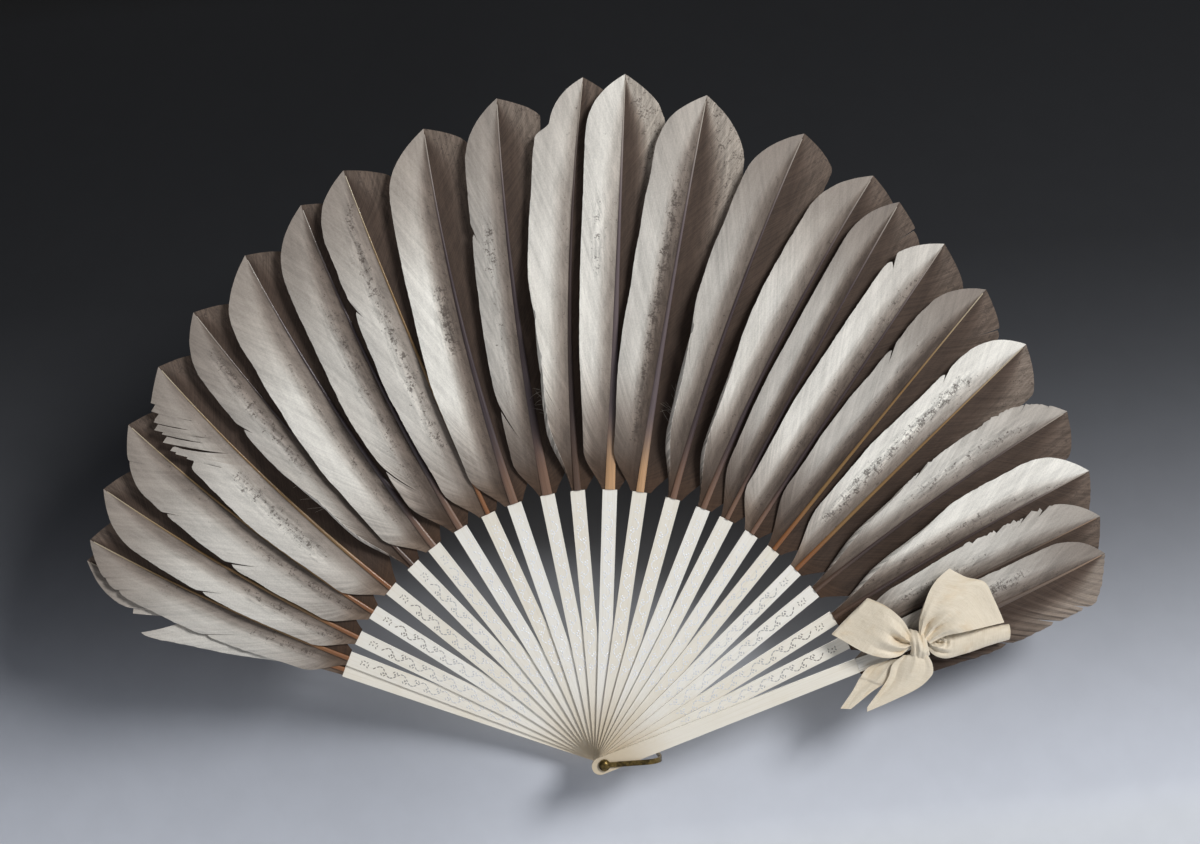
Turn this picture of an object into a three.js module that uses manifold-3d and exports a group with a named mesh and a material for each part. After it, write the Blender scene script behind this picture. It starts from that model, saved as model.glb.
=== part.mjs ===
// Folding feather fan, spread fully open: bone sticks on one rivet, a feather on each stick,
// a brass bail over the rivet and a silk ribbon bow on the front guard.
// Millimetres. The fan stands upright and faces -Y. The rivet lies along Y, and the origin is
// on its axis, at the flat back of its rear head.
import * as THREE from "three";
import { mergeVertices } from "three/addons/utils/BufferGeometryUtils.js";
import Module from "manifold-3d";

const wasm = await Module();
wasm.setup();

// Leaves from the rear guard to the front guard. A leaf is one stick with its feather.
// angle: direction of the open stick in degrees, counted from the viewer's right.
// lean: how far the feather's tip stands to the right of the stick's axis.
// vane: greatest width of the feather to the left of its shaft.
// right: greatest width to the right of the shaft, where it isn't RIGHT_VANE.
const LEAVES = [
  { angle: 161.6, lean: 2, vane: 15 },
  { angle: 159.0, lean: 8, vane: 15 },
  { angle: 154.1, lean: 10, vane: 16 },
  { angle: 147.8, lean: 12.5, vane: 20 },
  { angle: 141.5, lean: 12.5, vane: 21 },
  { angle: 134.7, lean: 9, vane: 16.5 },
  { angle: 128.8, lean: 15, vane: 22 },
  { angle: 122.1, lean: 15.5, vane: 20.5 },
  { angle: 115.5, lean: 6, vane: 20 },
  { angle: 109.6, lean: 16.5, vane: 21.5 },
  { angle: 102.4, lean: 14, vane: 17 },
  { angle: 96.0, lean: 20, vane: 20.5 },
  { angle: 89.2, lean: 1.5, vane: 18 },
  { angle: 82.9, lean: 5.5, vane: 20, right: 24 },
  { angle: 75.8, lean: 15.5, vane: 19.5 },
  { angle: 69.1, lean: 17, vane: 19.5 },
  { angle: 63.7, lean: 5, vane: 15 },
  { angle: 57.6, lean: 2, vane: 19 },
  { angle: 51.9, lean: 2, vane: 18 },
  { angle: 45.6, lean: 2.5, vane: 18 },
  { angle: 39.6, lean: 10.5, vane: 17.5 },
  { angle: 32.7, lean: 7, vane: 19 },
  { angle: 26.9, lean: 1.5, vane: 17 },
  { angle: 21.5, lean: -6, vane: 16.5 },
];

// Sticks and guards
const STICK_LENGTH = 128.5; // rivet to the shoulder where the feather begins
const STICK_THICKNESS = 0.95;
const STICK_HEAD_WIDTH = 6.2;
const STICK_TOP_WIDTH = 6.9;
const GUARD_THICKNESS = 1.6;
const GUARD_HEAD_WIDTH = 8;
const GUARD_TOP_WIDTH = 6.8;
const HEAD_OVERHANG = 6; // rivet to the round end of a stick
const TANG_LENGTH = 48; // thin tongue behind the feather
const TANG_THICKNESS = 0.35;
const TANG_BASE_WIDTH = 4.4;
const TANG_TIP_WIDTH = 2.4;

// Feathers
const TIP_RADIUS = 326; // rivet to the tip of the tallest feather
const TIP_FALL = 0.95; // loss of that radius for each degree away from the middle leaf
const MIDDLE_ANGLE = 91.4;
const RIGHT_VANE = 20; // greatest width to the right of the shaft
const VANE_THICKNESS = 0.3;
const QUILL_THICKNESS = 0.5;
const QUILL_BASE_WIDTH = 2.8;
const QUILL_TIP_WIDTH = 0.7;
const LEFT_TILT = 0.12; // rise of the vane for each millimetre left of the flat strip
const RIGHT_TILT = 0.09; // fall of the vane for each millimetre right of it
const FLAT_HALF_WIDTH = 3; // flat strip over the tang
const TILT_RUN = 60; // length over which the tilt grows from nothing
const FEATHER_STATIONS = [0, 0.05, 0.11, 0.18, 0.4, 0.6, 0.77, 0.87, 0.93, 0.97, 0.99, 1];

// Rivet and bail
const RIVET_RADIUS = 1.5;
const RIVET_HEAD_RADIUS = 2.3;
const RIVET_HEAD_HEIGHT = 1.2;
const RIVET_HEAD_CHAMFER = 0.3;
const BAIL_REACH = 28; // rivet axis to the outside of the cross bar
const BAIL_WIDTH = 2.4;
const BAIL_THICKNESS = 0.9;
const BAIL_CORNER = 8.5;
const BAIL_EYE_RADIUS = 2.8;
const BAIL_ANGLE = 4; // degrees above the viewer's right

// Ribbon bow. Level 0 lies next to the fan and level 1 in front of it.
const BOW_RISE = 28.5; // shoulder of the front guard to the middle of the knot
const RIBBON_THICKNESS = 0.7;
const RIBBON_PINCH = 3.2; // half width where the ribbon enters the knot
const RIBBON_FOLD = 1.2; // height of the long folds in the tails
const RIBBON_PLEAT = 0.8; // height of the gathers in the loops, at the knot
const KNOT_RADIUS = 6.5;
const KNOT_DEPTH = 12.5;
const KNOT_ROUNDING = 1.8;
const LOOPS = [
  { name: "bow_loop_left", angle: 157, length: 36, width: 24, level: 1, depth: 4.5 },
  { name: "bow_loop_upper", angle: 42, length: 41, width: 36, level: 1, depth: 4.5 },
  { name: "bow_loop_lower", angle: 6, length: 45, width: 15, level: 0, depth: 1 },
];
const TAILS = [
  { name: "bow_tail_front", angle: 250, length: 25, width: 23, slant: -12, level: 1 },
  { name: "bow_tail_back", angle: 221, length: 40, width: 17, slant: -6, level: 0 },
];

// Fits
const RUNNING_CLEARANCE = 0.09; // round the rivet
const RUB_GAP = 0.2; // between neighbouring leaves
const SEAT_GAP = 0.1; // between pieces that are glued, sewn or riveted together
const KNOT_GAP = 0.3; // between the pieces of the bow, and between the bow and the feather
const ARC_STEPS = 6; // half of the sides of a full round
const ROUND_SIDES = 2 * ARC_STEPS;

// Places along the rivet, from the origin towards the viewer
const leafPitch = Math.max(STICK_THICKNESS, TANG_THICKNESS + SEAT_GAP + QUILL_THICKNESS) + RUB_GAP;
const rearEyeZ = RIVET_HEAD_HEIGHT + SEAT_GAP;
const stackBackZ = rearEyeZ + BAIL_THICKNESS + SEAT_GAP;
const firstLeafZ = stackBackZ + GUARD_THICKNESS;
const lastLeafZ = firstLeafZ + (LEAVES.length - 1) * leafPitch;
const stackFrontZ = lastLeafZ - STICK_THICKNESS + GUARD_THICKNESS;
const frontEyeZ = stackFrontZ + SEAT_GAP;
const frontHeadZ = frontEyeZ + BAIL_THICKNESS + SEAT_GAP;
const featherSeatZ = -STICK_THICKNESS + TANG_THICKNESS + SEAT_GAP;
const boreRadius = (RIVET_RADIUS + RUNNING_CLEARANCE) / Math.cos(Math.PI / ROUND_SIDES);

const bone = () => new THREE.MeshStandardMaterial({ color: 0xeee4cf, roughness: 0.38 });
const plume = () => new THREE.MeshStandardMaterial({ color: 0xb9b1a8, roughness: 0.8 });
const brass = () => new THREE.MeshStandardMaterial({ color: 0x8a6f3c, roughness: 0.35, metalness: 1 });
const silk = () => new THREE.MeshStandardMaterial({ color: 0xe9dfc8, roughness: 0.45 });

const radians = THREE.MathUtils.degToRad;

function solidOf(geometry) {
  const bare = geometry.clone();
  bare.deleteAttribute("normal");
  bare.deleteAttribute("uv");
  const merged = mergeVertices(bare, 1e-4);
  const vertProperties = merged.attributes.position.array;
  const triVerts = new Uint32Array(merged.index.array);
  return new wasm.Manifold(new wasm.Mesh({ numProp: 3, vertProperties, triVerts }));
}

function geometryOf(solid) {
  const mesh = solid.getMesh();
  const geometry = new THREE.BufferGeometry();
  geometry.setAttribute("position", new THREE.BufferAttribute(mesh.vertProperties, 3));
  geometry.setIndex(new THREE.BufferAttribute(mesh.triVerts, 1));
  geometry.computeVertexNormals();
  return geometry;
}

function namedMesh(name, geometry, material) {
  const mesh = new THREE.Mesh(geometry, material);
  mesh.name = name;
  return mesh;
}

function slab(shape, bottom, thickness) {
  const options = { depth: thickness, bevelEnabled: false, curveSegments: ARC_STEPS };
  return new THREE.ExtrudeGeometry(shape, options).translate(0, 0, bottom);
}

// A round pin along Z, standing on the given height.
function pin(radius, bottom, height) {
  const geometry = new THREE.CylinderGeometry(radius, radius, height, ROUND_SIDES);
  return geometry.rotateX(Math.PI / 2).translate(0, 0, bottom + height / 2);
}

// A grid of points closed into one skin: rings[i][j] is point j of the ring at station i.
function ringedGeometry(rings) {
  const count = rings[0].length;
  const index = [];
  for (let i = 0; i + 1 < rings.length; i++) {
    for (let j = 0; j < count; j++) {
      const a = i * count + j;
      const b = i * count + ((j + 1) % count);
      index.push(a, b + count, b, a, a + count, b + count);
    }
  }
  const last = (rings.length - 1) * count;
  for (let j = 1; j + 1 < count; j++) {
    index.push(0, j, j + 1);
    index.push(last, last + j + 1, last + j);
  }
  const geometry = new THREE.BufferGeometry().setFromPoints(rings.flat());
  geometry.setIndex(index);
  geometry.computeVertexNormals();
  return geometry;
}

// Stick: a flat blade with a round head and a bore, and a thin tang that carries the feather.
// Its own axis is Y, and Z = 0 is the face of an inner stick that looks at the viewer.
function bladeShape(headWidth, topWidth) {
  const headRadius = headWidth / 2;
  const headY = headRadius - HEAD_OVERHANG;
  const shape = new THREE.Shape();
  shape.moveTo(topWidth / 2, STICK_LENGTH);
  shape.lineTo(-topWidth / 2, STICK_LENGTH);
  shape.lineTo(-headRadius, headY);
  shape.absarc(0, headY, headRadius, Math.PI, 2 * Math.PI, false);
  shape.closePath();
  const bore = new THREE.Path();
  bore.absarc(0, 0, boreRadius, 0, 2 * Math.PI, true);
  shape.holes.push(bore);
  return shape;
}

function tangShape() {
  const root = STICK_LENGTH - TANG_BASE_WIDTH;
  const shape = new THREE.Shape();
  shape.moveTo(TANG_BASE_WIDTH / 2, root);
  shape.lineTo(TANG_TIP_WIDTH / 2, STICK_LENGTH + TANG_LENGTH);
  shape.lineTo(-TANG_TIP_WIDTH / 2, STICK_LENGTH + TANG_LENGTH);
  shape.lineTo(-TANG_BASE_WIDTH / 2, root);
  shape.closePath();
  return shape;
}

function stickGeometry(headWidth, topWidth, backZ, thickness) {
  const blade = solidOf(slab(bladeShape(headWidth, topWidth), backZ, thickness));
  const tang = solidOf(slab(tangShape(), -STICK_THICKNESS, TANG_THICKNESS));
  return geometryOf(blade.add(tang));
}

// Feather: a thin vane on both sides of a raised shaft. All feathers lie on one common tilted
// surface, higher on the left, so that they slide over each other as the fan folds.
function surfaceHeight(x, y) {
  const run = THREE.MathUtils.smoothstep(y, STICK_LENGTH, STICK_LENGTH + TILT_RUN);
  const side = Math.max(Math.abs(x) - FLAT_HALF_WIDTH, 0);
  return run * side * (x < 0 ? LEFT_TILT : -RIGHT_TILT);
}

// Share of the greatest width at a share of the length: flared foot, full middle, blunt tip.
function vaneShare(along) {
  const foot = 0.1 + 0.9 * THREE.MathUtils.smoothstep(along, -0.06, 0.18);
  const past = Math.max((along - 0.75) / 0.25, 0);
  return foot * Math.sqrt(1 - past ** 3);
}

// Where the flat strip over the tang ends, kept between the quill and the vane's edge.
function footBetween(flatX, quillSide, edge) {
  const margin = (Math.sign(edge - quillSide) * VANE_THICKNESS) / 3;
  const ends = [quillSide + margin, edge - margin];
  return THREE.MathUtils.clamp(flatX, Math.min(...ends), Math.max(...ends));
}

function featherGeometry(leaf) {
  const baseY = STICK_LENGTH + SEAT_GAP;
  const tipY = TIP_RADIUS - TIP_FALL * Math.abs(leaf.angle - MIDDLE_ANGLE);
  const rings = FEATHER_STATIONS.map((along) => {
    const y = THREE.MathUtils.lerp(baseY, tipY, along);
    const shaft = leaf.lean * along ** 2;
    const quill = THREE.MathUtils.lerp(QUILL_BASE_WIDTH, QUILL_TIP_WIDTH, along) / 2;
    const left = shaft - Math.max(leaf.vane * vaneShare(along), quill + VANE_THICKNESS);
    const right = shaft + Math.max((leaf.right ?? RIGHT_VANE) * vaneShare(along), quill + VANE_THICKNESS);
    const leftFoot = footBetween(-FLAT_HALF_WIDTH, shaft - quill, left);
    const rightFoot = footBetween(FLAT_HALF_WIDTH, shaft + quill, right);
    const point = (x, rise) => new THREE.Vector3(x, y, featherSeatZ + surfaceHeight(x, y) + rise);
    return [
      point(left, 0),
      point(leftFoot, 0),
      point(rightFoot, 0),
      point(right, 0),
      point(right, VANE_THICKNESS),
      point(rightFoot, VANE_THICKNESS),
      point(shaft + quill, VANE_THICKNESS),
      point(shaft, QUILL_THICKNESS),
      point(shaft - quill, VANE_THICKNESS),
      point(leftFoot, VANE_THICKNESS),
      point(left, VANE_THICKNESS),
    ];
  });
  return ringedGeometry(rings);
}

function leafName(kind, number) {
  return `${kind}_${String(number).padStart(2, "0")}`;
}

function leafGroup(leaf, position) {
  const first = position === 0;
  const last = position === LEAVES.length - 1;
  const number = position + 1;
  const group = new THREE.Group();
  group.rotation.z = radians(leaf.angle - 90);
  group.position.z = firstLeafZ + position * leafPitch;
  const guardBack = first ? -GUARD_THICKNESS : -STICK_THICKNESS;
  const stick = first || last
    ? stickGeometry(GUARD_HEAD_WIDTH, GUARD_TOP_WIDTH, guardBack, GUARD_THICKNESS)
    : stickGeometry(STICK_HEAD_WIDTH, STICK_TOP_WIDTH, -STICK_THICKNESS, STICK_THICKNESS);
  const innerName = leafName("stick", number);
  const stickName = first ? "guard_rear" : last ? "guard_front" : innerName;
  group.add(namedMesh(stickName, stick, bone()));
  group.add(namedMesh(leafName("feather", number), featherGeometry(leaf), plume()));
  return group;
}

// Rivet: one turned pin, flat at the back and domed in front.
function rivetGeometry() {
  const profile = new THREE.Path();
  profile.moveTo(0, 0);
  profile.lineTo(RIVET_HEAD_RADIUS - RIVET_HEAD_CHAMFER, 0);
  profile.lineTo(RIVET_HEAD_RADIUS, RIVET_HEAD_CHAMFER);
  profile.lineTo(RIVET_HEAD_RADIUS, RIVET_HEAD_HEIGHT);
  profile.lineTo(RIVET_RADIUS, RIVET_HEAD_HEIGHT);
  profile.lineTo(RIVET_RADIUS, frontHeadZ);
  profile.lineTo(RIVET_HEAD_RADIUS, frontHeadZ);
  profile.absellipse(0, frontHeadZ, RIVET_HEAD_RADIUS, RIVET_HEAD_HEIGHT, 0, Math.PI / 2, false);
  const points = profile.getPoints(ARC_STEPS / 2);
  points[points.length - 1].x = 0;
  return new THREE.LatheGeometry(points, ROUND_SIDES).rotateX(Math.PI / 2);
}

// Bail: a strap bent into a U over the whole stack, with an eye on the rivet at each end.
function bailShape() {
  const back = rearEyeZ;
  const front = frontEyeZ + BAIL_THICKNESS;
  const bend = BAIL_REACH - BAIL_CORNER;
  const inner = BAIL_CORNER - BAIL_THICKNESS;
  const quarter = Math.PI / 2;
  const shape = new THREE.Shape();
  shape.moveTo(0, back);
  shape.lineTo(bend, back);
  shape.absarc(bend, back + BAIL_CORNER, BAIL_CORNER, -quarter, 0, false);
  shape.absarc(bend, front - BAIL_CORNER, BAIL_CORNER, 0, quarter, false);
  shape.lineTo(0, front);
  shape.lineTo(0, front - BAIL_THICKNESS);
  shape.absarc(bend, front - BAIL_CORNER, inner, quarter, 0, true);
  shape.absarc(bend, back + BAIL_CORNER, inner, 0, -quarter, true);
  shape.lineTo(0, back + BAIL_THICKNESS);
  shape.closePath();
  return shape;
}

function bailGeometry() {
  const strap = slab(bailShape(), -BAIL_WIDTH / 2, BAIL_WIDTH).rotateX(Math.PI / 2);
  const bore = solidOf(pin(boreRadius, 0, frontHeadZ));
  const bail = solidOf(strap)
    .add(solidOf(pin(BAIL_EYE_RADIUS, rearEyeZ, BAIL_THICKNESS)))
    .add(solidOf(pin(BAIL_EYE_RADIUS, frontEyeZ, BAIL_THICKNESS)))
    .subtract(bore);
  return geometryOf(bail);
}

// Ribbon: a surface point(along, across) thickened both ways along its normal. Along runs from
// 0 to 1 down the ribbon, and across from -1 to 1 over its width.
function ribbonGeometry(point, rows, columns) {
  const step = 1e-3;
  const faces = (along, across) => {
    const tangent = point(along + step, across).sub(point(along - step, across));
    const sideways = point(along, across + step).sub(point(along, across - step));
    const offset = tangent.cross(sideways).setLength(RIBBON_THICKNESS / 2);
    const middle = point(along, across);
    return [middle.clone().add(offset), middle.clone().sub(offset)];
  };
  const rings = [];
  for (let i = 0; i <= rows; i++) {
    const pairs = [];
    for (let j = 0; j <= columns; j++) {
      pairs.push(faces(i / rows, (2 * j) / columns - 1));
    }
    const front = pairs.map((pair) => pair[0]);
    const back = pairs.map((pair) => pair[1]).reverse();
    rings.push([...back, ...front]);
  }
  return ringedGeometry(rings);
}

function ribbonHalfWidth(width, open) {
  return THREE.MathUtils.lerp(RIBBON_PINCH, width / 2, open);
}

// The loops and tails leave the knot along X of their own frame, with Z towards the viewer.
const ribbonStart = KNOT_RADIUS + KNOT_GAP;
const widestVane = Math.max(...LEAVES.map((leaf) => leaf.vane - Math.min(leaf.lean, 0)));
const featherFrontZ = featherSeatZ + LEFT_TILT * widestVane + VANE_THICKNESS;
const bowBackZ = Math.max(featherFrontZ, GUARD_THICKNESS - STICK_THICKNESS) + KNOT_GAP;
const levelHeight = 2 * RIBBON_FOLD + RIBBON_THICKNESS + KNOT_GAP;

function ribbonZ(level, fold) {
  return bowBackZ + level * levelHeight + RIBBON_THICKNESS / 2 + fold;
}

function loopGeometry(loop) {
  const gatherZ = ribbonZ(loop.level, RIBBON_PLEAT);
  const point = (along, across) => {
    const open = Math.sin(Math.PI * THREE.MathUtils.clamp(along, 0, 1));
    const turn = (1 - Math.cos(Math.PI * along)) / 2;
    const pleat = RIBBON_PLEAT * Math.cos(2 * Math.PI * across) * (1 - open);
    const x = ribbonStart + (loop.length - ribbonStart) * Math.sin(Math.PI * along);
    const y = across * ribbonHalfWidth(loop.width, open ** 0.7);
    return new THREE.Vector3(x, y, gatherZ + loop.depth * turn + pleat);
  };
  return ribbonGeometry(point, 10, 6);
}

function tailGeometry(tail) {
  const middleZ = ribbonZ(tail.level, RIBBON_FOLD);
  const point = (along, across) => {
    const open = THREE.MathUtils.smoothstep(along, -0.4, 0.6);
    const fold = RIBBON_FOLD * Math.cos(1.5 * Math.PI * across);
    const x = ribbonStart + (tail.length - ribbonStart + tail.slant * across) * along;
    return new THREE.Vector3(x, across * ribbonHalfWidth(tail.width, open), middleZ + fold);
  };
  return ribbonGeometry(point, 5, 6);
}

function knotGeometry() {
  const bottom = featherSeatZ + QUILL_THICKNESS + KNOT_GAP;
  const top = bottom + KNOT_DEPTH;
  const shoulder = KNOT_RADIUS - KNOT_ROUNDING;
  const profile = new THREE.Path();
  profile.moveTo(0, bottom);
  profile.lineTo(shoulder, bottom);
  profile.absarc(shoulder, bottom + KNOT_ROUNDING, KNOT_ROUNDING, -Math.PI / 2, 0, false);
  profile.absarc(shoulder, top - KNOT_ROUNDING, KNOT_ROUNDING, 0, Math.PI / 2, false);
  profile.lineTo(0, top);
  const points = profile.getPoints(ARC_STEPS / 3);
  return new THREE.LatheGeometry(points, ROUND_SIDES).rotateX(Math.PI / 2);
}

function bowGroup(frontAngle) {
  const bow = new THREE.Group();
  const direction = radians(frontAngle);
  const radius = STICK_LENGTH + BOW_RISE;
  bow.position.set(radius * Math.cos(direction), radius * Math.sin(direction), lastLeafZ);
  bow.add(namedMesh("bow_knot", knotGeometry(), silk()));
  LOOPS.forEach((loop) => {
    const mesh = namedMesh(loop.name, loopGeometry(loop), silk());
    mesh.rotation.z = radians(loop.angle);
    bow.add(mesh);
  });
  TAILS.forEach((tail) => {
    const mesh = namedMesh(tail.name, tailGeometry(tail), silk());
    mesh.rotation.z = radians(tail.angle);
    bow.add(mesh);
  });
  return bow;
}

// Assembly, drawn in the plane of the fan with Z towards the viewer, then stood upright
const fan = new THREE.Group();
const drawing = new THREE.Group();
drawing.rotation.x = Math.PI / 2;
fan.add(drawing);
LEAVES.forEach((leaf, position) => drawing.add(leafGroup(leaf, position)));
drawing.add(namedMesh("rivet", rivetGeometry(), brass()));
const bail = namedMesh("bail", bailGeometry(), brass());
bail.rotation.z = radians(BAIL_ANGLE);
drawing.add(bail);
drawing.add(bowGroup(LEAVES[LEAVES.length - 1].angle));

export default fan;
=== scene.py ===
"""Looks of a folding feather fan: goose feathers on bone sticks, a brass rivet and bail, a silk bow.

Shapes are drawn in millimetres in the plane of the fan: x to the viewer's right, y up and z towards
the viewer. The part itself stands upright and faces -Y, in metres.
"""
import math
from types import SimpleNamespace

import bpy
import numpy as np
from mathutils import Matrix, Vector


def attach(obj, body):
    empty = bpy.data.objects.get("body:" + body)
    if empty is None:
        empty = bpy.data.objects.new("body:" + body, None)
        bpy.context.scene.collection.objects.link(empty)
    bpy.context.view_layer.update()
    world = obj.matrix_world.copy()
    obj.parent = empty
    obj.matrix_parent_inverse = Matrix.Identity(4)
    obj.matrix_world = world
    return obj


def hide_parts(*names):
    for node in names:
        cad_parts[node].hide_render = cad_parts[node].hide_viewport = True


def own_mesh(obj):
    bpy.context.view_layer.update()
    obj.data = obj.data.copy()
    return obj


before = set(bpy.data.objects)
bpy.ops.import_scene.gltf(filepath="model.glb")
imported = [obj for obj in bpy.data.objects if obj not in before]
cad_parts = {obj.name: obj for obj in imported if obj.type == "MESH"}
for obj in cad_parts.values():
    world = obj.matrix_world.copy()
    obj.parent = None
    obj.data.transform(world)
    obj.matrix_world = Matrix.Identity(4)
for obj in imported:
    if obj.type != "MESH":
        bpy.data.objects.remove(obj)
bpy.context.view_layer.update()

MM = 0.001
LEFT = -1
RIGHT = 1
PHOTO_WIDTH = 1200  # pixels
SHARP_ANGLE = math.radians(50)

# Sizes shared with the solids, in millimetres
STICK_LENGTH = 128.5
LEAF_PITCH = 1.15
FIRST_LEAF_Z = 3.9
FEATHER_SEAT_Z = -0.5
FEATHER_BASE_Y = 128.6
TIP_RADIUS = 326
TIP_FALL = 0.95
MIDDLE_ANGLE = 91.4
RIGHT_VANE = 20
BOW_RISE = 28.5

# Feather form
ROWS = 120
COLUMNS = 14
VANE_THICKNESS = 0.22
BARB_RISE = 0.16  # share of the length by which the lower barbs climb
BARB_SWEEP = 1.55  # above 1 the barbs near the tip lie closer to the shaft
BARB_BEND = (0.56, 0.4)  # the point that a barb bends towards, as shares across and along
LEFT_RISE = 3.3
RIGHT_DIP = 1.9
CAMBER_RUN = 46  # length over which the camber grows from the flat foot
LEFT_ARCH = 0.62  # share of a half turn in the arch of a left vane
FULL_WIDTH = 15  # width from which a vane has its full camber
TIP_BEND = -3.5  # the tips lean back
LEFT_TIP_RUN = 34  # length of the narrowing at the left of the tip
FOOT_SHARE = 0.17  # share of a vane's width below the flare of its foot
FLARE_SHARE = 0.6  # share that the flare adds, and the rest comes above it
SHAFT_TIP_RADIUS = 0.28
SHAFT_TAPER = 1.5  # above 1 the quill thins quickly near its base
SHAFT_END = 0.985  # share of the length at which the quill ends
SHAFT_HEIGHT = 0.9  # a thick quill is no higher than this
SHAFT_LIFT = 0.12  # of a quill above the vanes
RIDGES = 24  # corrugations along a right vane
ROLL_TURN = 2.3  # radians through which a rolled edge turns
ROLL_START = 0.5  # share across at which the roll begins
SPLIT_RUN = 6  # length over which the push of a split fades
LIP_SHIFT = 0.01  # share along from a split to the place that sets the width of a lip
GREATEST_CUT = 0.8  # share of a barb that splits can cut off
FLECK_FADE = 0.06  # half the share along over which flecks set in
PATTERN_STEP = 7.3  # keeps the patterns of two feathers apart


def leaf(angle, lean, vane, tone, band, **more):
    """One stick with its feather, from the rear guard to the front guard.

    angle is in degrees from the viewer's right. lean is how far the tip bends to the right, and vane and
    right are the widths of the two vanes, all in mm.
    tone is how grey the left vane is, band how dark its strip beside the shaft is, a strip that is partly
    its own colour and partly painted shade in the valley by the shaft, and dusk how far its foot darkens.
    slim is how slowly the foot widens and roll how far its left edge rolls up and how much painted
    highlight lies on that rolled edge.
    shaft names the quill's colours and quill is the radius of its base. ripple is the waviness of the
    vanes and ridges the height of the corrugations of the right vane, both in mm.
    tip holds the power of the narrowing at the left of the tip, where a high one is blunt, and its
    length in mm and its power at the right. clear is how pale the left vane is at its tip, and bright
    how pale and mottled the right vane grows there.
    flecks are (density, share across, width across, from, to) along the left vane.
    splits are (share along, depth, gap in mm) where the barbs part at the left edge, and right_splits
    those at the right edge. trim is the share by which the barbs above a split and below it are shorter,
    and the mm over which that fades.
    steps are (share along, width share, half run) where the left vane grows narrower or wider, and
    ragged are (from, to, unevenness) along its edge.
    """
    values = dict(angle=angle, lean=lean, vane=vane, tone=tone, band=band, right=RIGHT_VANE, dusk=1.0,
                  slim=1.0, roll=0.0, shaft="gold", quill=1.1, ripple=0.15, ridges=0.12,
                  clear=0.2, bright=0.35, tip=(3.0, 14, 1.6), trim=(0.05, 0.05, 1.5),
                  flecks=[], splits=[], right_splits=[], steps=[], ragged=[])
    length = TIP_RADIUS - TIP_FALL * abs(angle - MIDDLE_ANGLE) - FEATHER_BASE_Y
    return SimpleNamespace(**values | more, length=length)


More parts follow.
